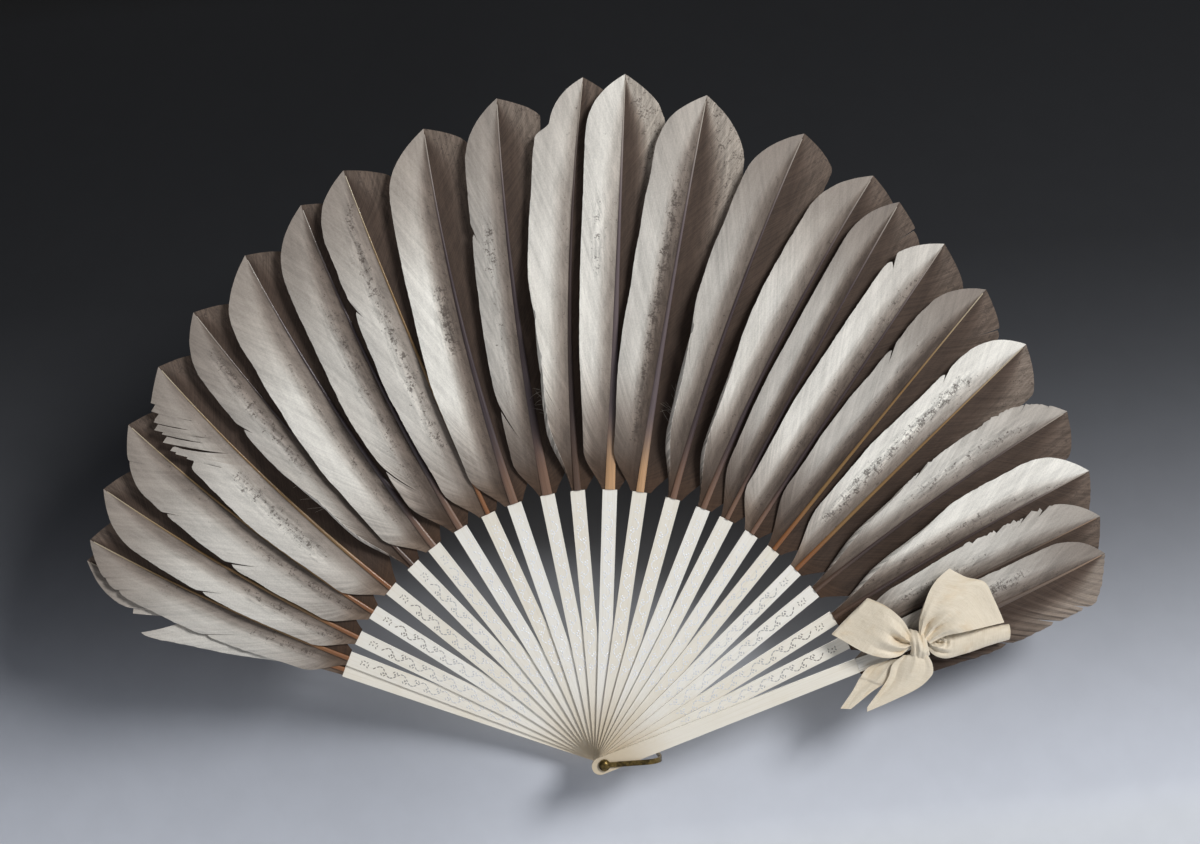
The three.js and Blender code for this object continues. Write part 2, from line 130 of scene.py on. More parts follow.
LEAVES = [
    leaf(161.6, 10, 16, 0.15, 0.4, dusk=0.5, ripple=0.3, slim=5, trim=(0.3, 0, 5),
         steps=[(0.64, 1.2, 0.1), (0.765, 0.6, 0.006)], splits=[(0.76, 0.75, 3)]),
    leaf(159, 8, 16, 0.25, 0.4, ripple=0.5, dusk=0.5, flecks=[(0.9, 0.3, 0.2, 0.05, 0.4)],
         splits=[(0.5, 0.5, 0.6), (0.84, 0.35, 0.4), (0.9, 0.4, 0.3)]),
    leaf(154.1, 10, 16, 0.15, 0.45, dusk=0.35, flecks=[(0.95, 0.3, 0.25, 0, 0.45)],
         splits=[(0.55, 0.3, 1)]),
    leaf(147.8, 12.5, 20, 0.2, 0.4, dusk=0.35, flecks=[(0.9, 0.25, 0.2, 0, 0.5)],
         splits=[(0.48, 0.35, 1.2), (0.74, 0.2, 0.6), (0.93, 0.5, 0.15)]),
    leaf(141.5, 12.5, 21, 0.15, 0.15, dusk=0.25, flecks=[(1, 0.4, 0.25, 0.2, 0.62)],
         steps=[(0.74, 0.92, 0.02), (0.78, 1.14, 0.02)], ragged=[(0.74, 0.94, 0.03)], trim=(0.12, 0.1, 1.2),
         splits=[(0.75, 0.4, 1), (0.775, 0.75, 2.2), (0.8, 0.5, 1), (0.825, 0.8, 2.4), (0.85, 0.55, 1.2),
                 (0.87, 0.75, 1.9), (0.89, 0.5, 1), (0.91, 0.6, 1.5), (0.93, 0.4, 0.8)]),
    leaf(134.7, 9, 16.5, 0.4, 0.55, shaft="dark", roll=0.9, slim=1.9, ripple=0.3,
         flecks=[(0.95, 0.35, 0.3, 0.4, 0.9)], splits=[(0.33, 0.5, 1.5), (0.65, 0.15, 1.5)]),
    leaf(128.8, 15, 22, 0, 0.5, shaft="plum", dusk=0.3, quill=1.6, flecks=[(0.9, 0.3, 0.12, 0.1, 0.7)]),
    leaf(122.1, 15.5, 20.5, 0.25, 0.8, shaft="plum", quill=1.6, roll=0.3, slim=1.3, tip=(3.2, 13, 1.6),
         flecks=[(0.85, 0.35, 0.25, 0.1, 0.8)], splits=[(0.25, 0.6, 1.2)]),
    leaf(115.5, 6, 20, 0.15, 0.2, dusk=0.5, flecks=[(0.95, 0.35, 0.25, 0.2, 0.95)],
         tip=(3.4, 13, 1.6), splits=[(0.65, 0.15, 2)]),
    leaf(109.6, 16.5, 21.5, -0.08, 0.9, shaft="plum", quill=2, bright=0.5, dusk=0.7,
         flecks=[(1.25, 0.3, 0.22, 0.4, 0.62), (0.8, 0.15, 0.12, 0.1, 0.45)]),
    leaf(102.4, 14, 17, 0.42, 0.6, shaft="plum", quill=2.4, ripple=0.3, clear=0.4, bright=0.6,
         tip=(3, 12, 1.5), flecks=[(1, 0.55, 0.25, 0.55, 0.72), (0.6, 0.5, 0.3, 0.2, 0.6)],
         splits=[(0.69, 0.12, 1.5), (0.24, 0.5, 1.2)]),
    leaf(96, 20, 20.5, 0.06, 0.35, shaft="dark", quill=1.7, roll=0.9, slim=2, ripple=0.35, clear=0.7,
         tip=(4.5, 18, 1.6), steps=[(0.88, 0.7, 0.016)],
         splits=[(0.44, 0.4, 1.2), (0.33, 0.6, 1.2)]),
    leaf(89.2, 1.5, 18, 0.03, 0.3, shaft="tan", quill=2.4, ripple=0.2, clear=0.95, bright=1.1,
         tip=(3, 24, 2.1), dusk=1.1, roll=0.3, flecks=[(0.8, 0.5, 0.3, 0.5, 0.72)]),
    leaf(82.9, 5.5, 20, 0.2, 1.05, shaft="tan", quill=1.9, right=24, clear=0.6, bright=0.95,
         tip=(3, 38, 2.6), dusk=1.1, flecks=[(1.15, 0.28, 0.2, 0.1, 0.8)]),
    leaf(75.8, 15.5, 19.5, 0.35, 0.6, shaft="plum", quill=1.5, roll=0.9, slim=2, ripple=0.35,
         tip=(3, 15, 1.7), splits=[(0.44, 0.5, 1.5)]),
    leaf(69.1, 17, 19.5, 0.1, 0.6, shaft="plum", quill=1.4, roll=0.8, slim=1.8, ripple=0.3),
    leaf(63.7, 5, 15, 0.4, 1.3, shaft="plum", slim=1.4, tip=(2.8, 16, 1.6), right_splits=[(0.95, 0.4, 0.6)]),
    leaf(57.6, 2, 19, 0, 0.95, shaft="plum", clear=0.8, dusk=0.4, flecks=[(0.8, 0.25, 0.15, 0.2, 0.5)],
         splits=[(0.88, 0.14, 2)]),
    leaf(51.9, 2, 18, 0.38, 1.2, slim=1.5, flecks=[(0.7, 0.3, 0.3, 0.1, 0.8)],
         splits=[(0.69, 0.2, 1.5)], right_splits=[(0.93, 0.4, 0.6)]),
    leaf(45.6, 2.5, 18, -0.05, 0.5, dusk=0.4, slim=1.6, clear=1, tip=(3.4, 15, 1.6), bright=0.6,
         flecks=[(1.15, 0.45, 0.26, 0.15, 0.82)], splits=[(0.755, 0.12, 1.5)]),
    leaf(39.6, 10.5, 17.5, 0.15, 0.4, shaft="dark", clear=0.6, roll=0.8, slim=2.4, ripple=0.5,
         flecks=[(0.9, 0.4, 0.3, 0.4, 0.9)], ragged=[(0.42, 0.55, 0.03), (0.72, 0.95, 0.025)],
         splits=[(0.51, 0.18, 2.5), (0.9, 0.2, 0.5), (0.96, 0.3, 0.3)]),
    leaf(32.7, 7, 19, -0.05, 0.75, shaft="dark", clear=1, roll=0.8, slim=2.4, ripple=0.25,
         flecks=[(0.8, 0.3, 0.2, 0.1, 0.8)]),
    leaf(26.9, 1.5, 17, 0.2, 0.5, shaft="brown", clear=0.5, dusk=0.5, slim=1.6,
         flecks=[(0.9, 0.4, 0.25, 0.1, 0.6)], ragged=[(0.5, 0.85, 0.03)],
         splits=[(0.65, 0.15, 1.5), (0.755, 0.2, 2), (0.82, 0.15, 1.5)]),
    leaf(21.5, -6, 16.5, 0.4, 0.7, shaft="cream", quill=3.4, ripple=0.3, ridges=0.6, dusk=0.1, bright=0.75,
         flecks=[(1.2, 0.5, 0.25, 0.3, 0.7)],
         right_splits=[(0.55, 0.3, 1), (0.74, 0.3, 1), (0.86, 0.25, 1)]),
]


def body_name(number):
    ends = {1: "rear_leaf", len(LEAVES): "front_leaf"}
    return ends.get(number, f"leaf_{number:02d}")


def stick_name(number):
    ends = {1: "guard_rear", len(LEAVES): "guard_front"}
    return ends.get(number, f"stick_{number:02d}")


def leaf_z(number):
    """Front face of a leaf's stick."""
    return FIRST_LEAF_Z + (number - 1) * LEAF_PITCH


def vane_z(number):
    """Front of a leaf's flat vanes."""
    return leaf_z(number) + FEATHER_SEAT_Z + VANE_THICKNESS


# Geometry helpers
def smoothstep(x, low, high):
    share = np.clip((x - low) / (high - low), 0, 1)
    return share * share * (3 - 2 * share)


def to_part(points, angle=90, z=0.0, origin=(0, 0)):
    """Points of a leaf's own frame, in mm, as points of the part, in metres."""
    turn = math.radians(angle - 90)
    x = points[:, 0] * math.cos(turn) - points[:, 1] * math.sin(turn) + origin[0]
    y = points[:, 0] * math.sin(turn) + points[:, 1] * math.cos(turn) + origin[1]
    return np.column_stack([x, -(points[:, 2] + z), y]) * MM


def sheet_normals(points, faces):
    corner = points[faces]
    across = np.cross(corner[:, 2] - corner[:, 0], corner[:, 3] - corner[:, 1])
    normals = np.zeros_like(points)
    for k in range(4):
        np.add.at(normals, faces[:, k], across)
    length = np.linalg.norm(normals, axis=1, keepdims=True)
    return normals / np.maximum(length, 1e-12)


def boundary_edges(faces):
    """Edges of one face only, in that face's direction."""
    count = {}
    for a, b in np.concatenate([faces[:, [k, (k + 1) % 4]] for k in range(4)]).tolist():
        key = (min(a, b), max(a, b))
        count.setdefault(key, []).append((a, b))
    return np.array([edges[0] for edges in count.values() if len(edges) == 1])


def shell(points, faces, thickness):
    """A sheet of quads thickened backwards into a closed shell. The layers hold the points in order."""
    normals = sheet_normals(points, faces)
    half = normals * thickness / 2
    rim = boundary_edges(faces)
    count = len(points)
    walls = np.column_stack([rim[:, 1], rim[:, 0], rim[:, 0] + count, rim[:, 1] + count])
    closed = np.concatenate([faces, faces[:, ::-1] + count, walls])
    return np.concatenate([points + half, points - half]), closed


def grid_faces(rows, columns):
    a = (np.arange(rows)[:, None] * (columns + 1) + np.arange(columns)).ravel()
    return np.column_stack([a, a + 1, a + columns + 2, a + columns + 1])


def tube_faces(stations, sides, start=0):
    """Quads between rings of points, and a cap at each end."""
    first = start + np.arange(stations * sides).reshape(stations, sides)
    following = np.roll(first, -1, axis=1)
    quads = np.stack([first, following, following + sides, first + sides], axis=-1).reshape(-1, 4)
    foot = np.arange(start, start + sides)
    return [*quads, foot[::-1], foot + stations * sides]


def new_object(name, data):
    piece = bpy.data.objects.new(name, data)
    bpy.context.scene.collection.objects.link(piece)
    return piece


def mesh_object(name, points, faces, material, attributes=None):
    """A smooth mesh with sharp corners. Each attribute is one number or three for each point."""
    mesh = bpy.data.meshes.new(name)
    mesh.from_pydata(points.tolist(), [], [list(map(int, face)) for face in faces])
    mesh.polygons.foreach_set("use_smooth", [True] * len(mesh.polygons))
    for key, values in (attributes or {}).items():
        kind, field = ("FLOAT", "value") if values.ndim == 1 else ("FLOAT_VECTOR", "vector")
        data = mesh.attributes.new(key, kind, "POINT").data
        data.foreach_set(field, values.astype(np.float32).ravel())
    mesh.materials.append(material)
    mesh.update()
    mesh.set_sharp_from_angle(angle=SHARP_ANGLE)
    return new_object(name, mesh)


# Material helpers
class Nodes:
    """A new material's node tree with one Principled shader, and short calls to add to it."""

    def __init__(self, name, roughness, **constants):
        self.material = bpy.data.materials.new(name)
        self.material.use_nodes = True
        self.tree = self.material.node_tree
        self.shader = self.tree.nodes["Principled BSDF"]
        self.shader.inputs["Roughness"].default_value = roughness
        for key, value in constants.items():
            self.shader.inputs[key.replace("_", " ")].default_value = value

    def add(self, kind, inputs=None, **settings):
        node = self.tree.nodes.new(kind)
        for key, value in settings.items():
            setattr(node, key, value)
        for key, value in (inputs or {}).items():
            self.feed(node.inputs[key], value)
        return node

    def feed(self, socket, value):
        if isinstance(value, bpy.types.NodeSocket):
            self.tree.links.new(value, socket)
        else:
            socket.default_value = value

    def place(self):
        return self.add("ShaderNodeTexCoord").outputs["Object"]

    def attribute(self, name, output="Vector"):
        return self.add("ShaderNodeAttribute", attribute_name=name).outputs[output]

    def math(self, operation, *values):
        return self.add("ShaderNodeMath", dict(enumerate(values)), operation=operation).outputs[0]

    def scaled(self, vector, factors):
        return self.add("ShaderNodeVectorMath", {0: vector, 1: factors}, operation="MULTIPLY").outputs[0]

    def noise(self, vector, scale=1.0, detail=2.0, roughness=0.5):
        inputs = {"Vector": vector, "Scale": scale, "Detail": detail, "Roughness": roughness}
        return self.add("ShaderNodeTexNoise", inputs).outputs["Fac"]

    def polar(self, place):
        """Distance from the rivet's axis, turn round it, and place along it."""
        x, y, z = self.add("ShaderNodeSeparateXYZ", {0: place}).outputs
        square = self.math("ADD", self.math("MULTIPLY", x, x), self.math("MULTIPLY", z, z))
        return self.math("SQRT", square), self.math("ARCTAN2", z, x), y

    def ramp(self, value, low, high, start=0.0, end=1.0, kind="SMOOTHSTEP"):
        names = ("Value", "From Min", "From Max", "To Min", "To Max")
        inputs = dict(zip(names, (value, low, high, start, end)))
        return self.add("ShaderNodeMapRange", inputs, interpolation_type=kind).outputs[0]

    def mix(self, factor, a, b, blend="MIX"):
        inputs = {0: factor, 6: a, 7: b}
        return self.add("ShaderNodeMix", inputs, data_type="RGBA", blend_type=blend).outputs[2]

    def bump(self, height, strength, distance):
        inputs = {"Height": height, "Strength": strength, "Distance": distance}
        self.feed(self.shader.inputs["Normal"], self.add("ShaderNodeBump", inputs).outputs[0])

    def colour(self, value):
        self.feed(self.shader.inputs["Base Color"], value)

    def rough(self, value):
        self.feed(self.shader.inputs["Roughness"], value)


def linear(red, green, blue):
    """An sRGB colour of 0 to 255 as the shader's linear colour."""
    shares = np.array([red, green, blue]) / 255
    values = np.where(shares <= 0.04045, shares / 12.92, ((shares + 0.055) / 1.055) ** 2.4)
    return (*values.tolist(), 1.0)


def tint_of(red, green, blue):
    """The same as an array of three numbers."""
    return np.array(linear(red, green, blue)[:3])


# Materials
def vane_material():
    """Barbs run along equal values of the attribute barb: mm along the shaft, mm from it, seed.

    The attribute place is x and y in mm and a seed. Dark specks and streaks beside the shaft grow with
    the attribute fleck, and loose strands with the attribute strand.
    """
    n = Nodes("feather_vane", 0.68, Sheen_Weight=0.08, Sheen_Roughness=0.5, Specular_IOR_Level=0.2)
    barb = n.attribute("barb")
    place = n.attribute("place")
    tint = n.attribute("tint")
    fleck = n.attribute("fleck", "Fac")
    strand = n.attribute("strand", "Fac")
    streak = n.noise(n.scaled(barb, (0.5, 0.03, 1)), detail=5, roughness=0.7)
    cloud = n.noise(n.scaled(barb, (0.05, 0.08, 1)), detail=3)
    fine = n.noise(n.scaled(barb, (1.5, 0.03, 1)), detail=3)
    grain = n.noise(place, scale=1.5, detail=3, roughness=0.7)
    mottle = n.noise(n.scaled(barb, (0.1, 0.55, 1)), detail=5, roughness=0.65)
    light = n.math("ADD", n.ramp(streak, 0.25, 0.75, 0.88, 1.07), n.ramp(cloud, 0.3, 0.7, -0.08, 0.08))
    light = n.math("ADD", light, n.ramp(grain, 0.3, 0.7, -0.07, 0.07))
    light = n.math("ADD", light, n.math("MULTIPLY", n.ramp(mottle, 0.3, 0.7, -0.38, 0.26), fleck))
    light = n.math("ADD", light, n.math("MULTIPLY", n.ramp(fine, 0.35, 0.65, -0.5, 0.35), strand))
    grey = n.add("ShaderNodeCombineColor", dict.fromkeys((0, 1, 2), light)).outputs[0]
    barbs = n.mix(1.0, tint, grey, "MULTIPLY")
    spots = n.noise(place, scale=1.0, detail=3, roughness=0.7)
    blots = n.noise(place, scale=0.3, detail=3, roughness=0.6)
    dark = n.math("ADD", spots, n.ramp(blots, 0.25, 0.75, -0.16, 0.16))
    limit = n.math("SUBTRACT", 0.83, n.math("MULTIPLY", fleck, 0.34))
    spotted = n.ramp(n.math("SUBTRACT", dark, limit), 0.0, 0.16, 0.0, 0.75)
    n.colour(n.mix(spotted, barbs, linear(74, 64, 58)))
    n.bump(n.math("ADD", fine, streak), 0.2, 0.0003)
    return n.material


def shaft_material():
    n = Nodes("feather_shaft", 0.32, Specular_IOR_Level=0.5, Coat_Weight=0.15)
    tint = n.attribute("tint")
    barb = n.attribute("barb")
    grain = n.noise(n.scaled(barb, (0.05, 2.5, 1)), detail=3)
    n.colour(n.mix(n.ramp(grain, 0.35, 0.7, 0.0, 0.25), tint, linear(70, 48, 34)))
    n.rough(n.ramp(grain, 0.3, 0.7, 0.26, 0.42))
    n.bump(grain, 0.15, 0.0002)
    return n.material


def bone_material():
    """Grain runs out from the rivet, and the bone yellows towards it."""
    n = Nodes("bone", 0.36, Specular_IOR_Level=0.45, Coat_Weight=0.08)
    place = n.place()
    radius, angle, y = n.polar(place)
    along = n.math("MULTIPLY", radius, 22.0)
    across = n.math("MULTIPLY", angle, 150.0)
    layer = n.math("MULTIPLY", y, 800.0)
    grain_place = n.add("ShaderNodeCombineXYZ", {0: along, 1: across, 2: layer}).outputs[0]
    grain = n.noise(grain_place, detail=4, roughness=0.6)
    stick = n.noise(n.add("ShaderNodeCombineXYZ", {0: layer}).outputs[0], scale=0.9, detail=0)
    cloud = n.noise(place, scale=90.0, detail=3)
    cream = n.mix(n.ramp(stick, 0.35, 0.65), linear(248, 245, 237), linear(243, 237, 224))
    veined = n.mix(n.ramp(grain, 0.42, 0.72, 0.0, 0.25), cream, linear(216, 203, 176))
    aged = n.mix(n.ramp(cloud, 0.45, 0.75, 0.0, 0.18), veined, linear(226, 212, 182))
    n.colour(n.mix(n.ramp(radius, 0.04, 0.004, 0.0, 0.7), aged, linear(196, 174, 138)))
    n.rough(n.ramp(grain, 0.3, 0.7, 0.3, 0.46))
    n.bump(grain, 0.12, 0.0002)
    return n.material


def silver_material():
    """Bright on the middle sticks as a painted glint, and painted dull grey on the outer ones, most at their
    outer ends, where no reflection falls.
    """
    n = Nodes("silver_pins", 0.28, Metallic=0.15, Coat_Weight=0.4)
    place = n.place()
    radius, angle, _ = n.polar(place)
    tarnish = n.noise(place, scale=700.0, detail=2)
    # Painted reflection: pins away from the middle sticks, and most those far out, are painted dull grey
    # where they would not catch the light.
    aside = n.ramp(n.math("ABSOLUTE", n.math("SUBTRACT", angle, math.pi / 2)), 0.45, 1.0)
    dimmed = n.math("MULTIPLY", aside, n.ramp(radius, 0.06, 0.12, 0.25, 1.0))
    silver = n.mix(n.ramp(tarnish, 0.45, 0.65), linear(253, 254, 255), linear(236, 238, 242))
    n.colour(n.mix(dimmed, silver, linear(140, 134, 124)))
    n.rough(n.ramp(tarnish, 0.3, 0.7, 0.35, 0.55))
    return n.material


def brass_material():
    n = Nodes("aged_brass", 0.34, Metallic=1.0)
    place = n.place()
    patina = n.noise(place, scale=260.0, detail=5, roughness=0.65)
    # The bright scratches are partly wear and partly painted highlights on the brass.
    scratch_and_highlight = n.noise(n.scaled(place, (300.0, 2600.0, 2600.0)), detail=2)
    dimmed = n.mix(n.ramp(patina, 0.4, 0.65), linear(128, 108, 66), linear(64, 54, 36))
    n.colour(n.mix(n.ramp(scratch_and_highlight, 0.6, 0.75, 0.0, 0.4), dimmed, linear(172, 152, 100)))
    n.rough(n.ramp(patina, 0.3, 0.7, 0.24, 0.5))
    n.bump(n.math("ADD", patina, scratch_and_highlight), 0.12, 0.0002)
    return n.material


def silk_material():
    """Ribbed silk: the attribute weave holds mm across the ribbon, mm along it, and a seed."""
    n = Nodes("silk_ribbon", 0.5, Sheen_Weight=0.3, Sheen_Roughness=0.35, Specular_IOR_Level=0.3)
    weave = n.attribute("weave")
    rib = n.noise(n.scaled(weave, (0.12, 2.4, 1)), detail=2)
    warp = n.noise(n.scaled(weave, (2.6, 0.08, 1)), detail=2)
    # The stain colour is partly old stains and partly painted warm shade, laid on in blotches.
    stain_and_shade = n.noise(n.scaled(weave, (0.09, 0.07, 1)), detail=4, roughness=0.6)
    cloth = n.mix(n.ramp(rib, 0.3, 0.7), linear(235, 223, 202), linear(228, 215, 192))
    threads = n.mix(n.ramp(warp, 0.45, 0.7, 0.0, 0.12), cloth, linear(204, 190, 164))
    n.colour(n.mix(n.ramp(stain_and_shade, 0.5, 0.72, 0.0, 0.4), threads, linear(212, 182, 136)))
    n.rough(n.ramp(rib, 0.3, 0.7, 0.42, 0.58))
    rumple = n.noise(n.scaled(weave, (0.2, 0.16, 1)), detail=4, roughness=0.55)
    n.bump(n.math("ADD", n.math("ADD", rib, warp), n.math("MULTIPLY", rumple, 18.0)), 0.3, 0.00016)
    return n.material


VANE = vane_material()
SHAFT = shaft_material()
BONE = bone_material()
SILVER = silver_material()
BRASS = brass_material()
SILK = silk_material()


# Feathers
def vane_width(plume, side, along, lip=0):
    """Width beside the shaft: a foot as wide as the stick that flares, a full middle, a pointed arch.

    At a split the lower lip (-1) is still as wide as below a step there, and the upper lip (1) as above it.
    """
    greatest = plume.vane if side == LEFT else plume.right
    run, power = (LEFT_TIP_RUN, plume.tip[0]) if side == LEFT else plume.tip[1:]
    height = along * plume.length
    slim = plume.slim if side == LEFT else 1
    foot = FOOT_SHARE + FLARE_SHARE * smoothstep(height, -4, 19 * slim)
    foot = foot + (1 - FOOT_SHARE - FLARE_SHARE) * smoothstep(height, 10, 75)
    drop = plume.length - height
    tip = 1 - (1 - np.clip(drop / run, 0, 1)) ** power
    for middle, share, half in plume.steps if side == LEFT else []:
        tip = tip * (1 + (share - 1) * smoothstep(along + LIP_SHIFT * lip, middle - half, middle + half))
    return greatest * foot * tip


def barb_end(share):
    """Share along the shaft at which the barb that starts at this share meets the edge."""
    return 1 - (1 - BARB_RISE * smoothstep(share, 0, 0.1)) * (1 - share) ** BARB_SWEEP


def edge_wave(random):
    """A slow waver of the edge, as a share of the width, for each row of barbs."""
    at = np.linspace(0, 1, ROWS + 1)
    wave = random.normal(0, 0.0025, ROWS + 1)
    for count in (3, 7, 15):
        wave += random.normal(0, 0.012 / count ** 0.5) * np.sin(2 * np.pi * count * at + random.uniform(0, 6))
    return wave


def parting(plume, splits, shares, row, upper, across):
    """What the splits near a barb do: each column's push along the shaft, and the share cut off the barb."""
    above, below, run = plume.trim
    push, cut = np.zeros_like(across), 0.0
    for split, (depth, gap) in splits.items():
        side = upper if split == row else np.sign(row - split)
        away = abs(shares[row] - shares[split]) * plume.length
        opened = np.clip((across - 1 + depth) / depth, 0, 1) ** 1.3
        push += side * gap * opened * math.exp(-away / SPLIT_RUN)
        cut += (above if side > 0 else below) * math.exp(-away / run)
    return push, min(cut, GREATEST_CUT)


def vane_sheet(plume, side, random):
    """One vane as a sheet of quads whose rows are barbs, from the shaft to the edge."""
    shares = np.linspace(0, 1, ROWS + 1) ** 1.2
    length = plume.length
    across = np.linspace(0, 1, COLUMNS + 1)
    waver = edge_wave(random)
    phases = random.uniform(0, 2 * np.pi, 3)
    ends = barb_end(shares)
    for start, end, uneven in plume.ragged if side == LEFT else []:
        waver = waver + random.normal(0, uneven, ROWS + 1) * (ends > start) * (ends < end)
    splits = {int(np.argmin(np.abs(ends - along))): (depth, gap)
              for along, depth, gap in (plume.splits if side == LEFT else plume.right_splits)}
    points, barbs, places, faces = [], [], [], []
    below = np.array([], int)
    for row, share in enumerate(shares):
        for upper in ((-1, 1) if row in splits else (0,)):
            push, cut = parting(plume, splits, shares, row, upper, across)
            x, y, z, width = barb_line(plume, side, share, upper, waver[row] - cut, phases, across)
            y = y + push
            joined = int((1 - splits[row][0]) * COLUMNS) + 1 if upper == 1 else 0
            index = np.arange(len(points), len(points) + COLUMNS + 1 - joined)
            current = np.concatenate([below[:joined], index])
            for j in range(joined, COLUMNS + 1):
                points.append((x[j], y[j], z[j]))
                barbs.append((share * length, side * across[j] * width))
                places.append(((y[j] - FEATHER_BASE_Y) / length, side * across[j]))
            if len(below) and upper != 1:
                quads = np.column_stack([below[:-1], below[1:], current[1:], current[:-1]])
                faces.append(quads if side == RIGHT else quads[:, ::-1])
            below = current
    return np.array(points), np.concatenate(faces), np.array(barbs), np.array(places)


def barb_line(plume, side, share, upper, change, phases, across):
    """Points of one barb: it leaves the shaft widely and turns towards the tip.

    upper tells the two lips of a split apart, and change is how much longer this barb is, as a share.
    """
    length = plume.length
    end = barb_end(share)
    width = float(vane_width(plume, side, end, upper)) * (1 + change)
    root = np.array([plume.lean * share ** 2, FEATHER_BASE_Y + length * share])
    edge = np.array([plume.lean * end ** 2 + side * width, FEATHER_BASE_Y + length * end])
    bend = root + (edge - root) * np.array(BARB_BEND)
    t = across[:, None]
    flat = (1 - t) ** 2 * root + 2 * t * (1 - t) * bend + t ** 2 * edge
    x, y = flat[:, 0], flat[:, 1]
    fullness = min(width / FULL_WIDTH, 1)
    if side == LEFT:
        camber = LEFT_RISE * np.sin(LEFT_ARCH * np.pi * across) * fullness
    else:
        camber = -RIGHT_DIP * across ** 1.15 * fullness
    wave = sum(np.sin(2 * np.pi * count * share + phase) / count ** 0.4
               for count, phase in zip((5, 13, 29), phases))
    ripple = plume.ripple * wave * across ** 1.6 * smoothstep(share, 0.0, 0.12)
    if side == RIGHT:
        ridge = np.sin(2 * np.pi * RIDGES * share + 1.2 * wave)
        ripple = ripple + plume.ridges * ridge * across ** 0.8 * smoothstep(share, 0.05, 0.25)
    z = smoothstep(y, STICK_LENGTH, STICK_LENGTH + CAMBER_RUN) * camber + ripple + TIP_BEND * share ** 3
    if side == LEFT and plume.roll:
        x, z = rolled(x, z, across, width, plume.roll * (1 - smoothstep(share, 0.1, 0.42)))
    return x, y, z, width


def rolled(x, z, across, width, amount):
    """Rolls the outer part of a left vane up and inwards."""
    if amount < 0.01:
        return x, z
    outer = width * (1 - ROLL_START)
    past = np.clip((across - ROLL_START) / (1 - ROLL_START), 0, 1)
    turn = amount * ROLL_TURN * past
    radius = outer / (amount * ROLL_TURN)
    return x + past * outer - radius * np.sin(turn), z + radius * (1 - np.cos(turn))


PALE = tint_of(234, 230, 221)
WARM_GREY = tint_of(158, 152, 145)
UMBER = tint_of(75, 63, 55)
# SHADE and DEEP_SHADE are partly the right vanes' own dark colour and partly painted shade.
SHADE = tint_of(77, 63, 54)
DEEP_SHADE = tint_of(68, 54, 45)
FAWN = tint_of(186, 176, 164)
FOOT = tint_of(76, 56, 42)


def blend(a, b, share):
    """From colour a to colour b in even steps of lightness to the eye."""
    return a * (b / a) ** np.asarray(share)[:, None]


def vane_tint(plume, places):
    """Colour of the barbs: pale left vanes with a dark strip by the shaft, and dark right vanes, both partly
    painted shade.
    """
    along, across = places[:, 0], np.abs(places[:, 1])
    left = places[:, 1] < 0
    pale = blend(PALE, WARM_GREY, np.full(len(along), plume.tone * 1.25))
    # The dark strip beside the shaft is partly the vane's own colour and partly painted shade in the valley
    # by the shaft.
    strip = (0.26 + 0.58 * plume.band) * (1 - (0.1 + 0.55 * plume.clear) * smoothstep(along, 0.35, 0.9))
    strip = strip * (1 - smoothstep(across, 0.08, 0.55))
    dusk = plume.dusk * (1 - smoothstep(along, -0.08, 0.34))
    dusk = dusk + 0.42 * (1 - plume.clear) * smoothstep(along, 0.55, 1.0)
    left_tint = blend(pale, UMBER, np.clip(strip + dusk - strip * dusk, 0, 1))
    # The right vanes' tint is partly their own colour and partly painted shade under the neighbouring left
    # vane, deepest near the foot.
    shade = blend(DEEP_SHADE, SHADE, smoothstep(along, 0.2, 0.75))
    outer = smoothstep(across, 0.2, 0.75) * smoothstep(along, 0.3, 0.85)
    right_tint = blend(shade, FAWN, np.clip(plume.bright * outer, 0, 1))
    tint = np.where(left[:, None], left_tint, right_tint)
    foot = (1 - smoothstep(along, 0.0, 0.11)) * np.where(left, 0.3 + 0.45 * plume.dusk, 0.9)
    tint = blend(tint, FOOT, np.clip(foot, 0, 1))
    # Painted highlight: a rolled left edge is painted paler, as if its barbs caught the light.
    curl = plume.roll * smoothstep(across, 0.55, 0.8) * (1 - smoothstep(along, 0.2, 0.5))
    return blend(tint, PALE, 0.75 * curl * left * smoothstep(along, 0.02, 0.12))


def vane_flecks(plume, places):
    """Density of the dark specks."""
    along, across = places.T
    density = 0.2 + (0.2 + 0.4 * plume.band) * (1 - smoothstep(np.abs(across), 0.1, 0.65))
    mottled = 0.4 + (0.5 - plume.ridges) * smoothstep(across, 0.2, 0.6) * smoothstep(along, 0.3, 0.7)
    density = np.where(across > 0, mottled, density)
    for amount, middle, width, start, end in plume.flecks:
        near = np.exp(-(((-across - middle) / width) ** 2))
        begun = smoothstep(along, start - FLECK_FADE, start + FLECK_FADE)
        ended = smoothstep(along, end - FLECK_FADE, end + FLECK_FADE)
        density = np.maximum(density, amount * near * begun * (1 - ended) * (across < 0))
    return density


def vane_strands(plume, places):
    """How far the barbs part into strands: most at a rolled left foot, and a little on the right vane."""
    along, across = places.T
    foot = smoothstep(-across, 0.3, 0.75) * (1 - smoothstep(along, 0.12, 0.42))
    return np.where(across < 0, (0.3 + 0.7 * plume.roll) * foot, 0.3)


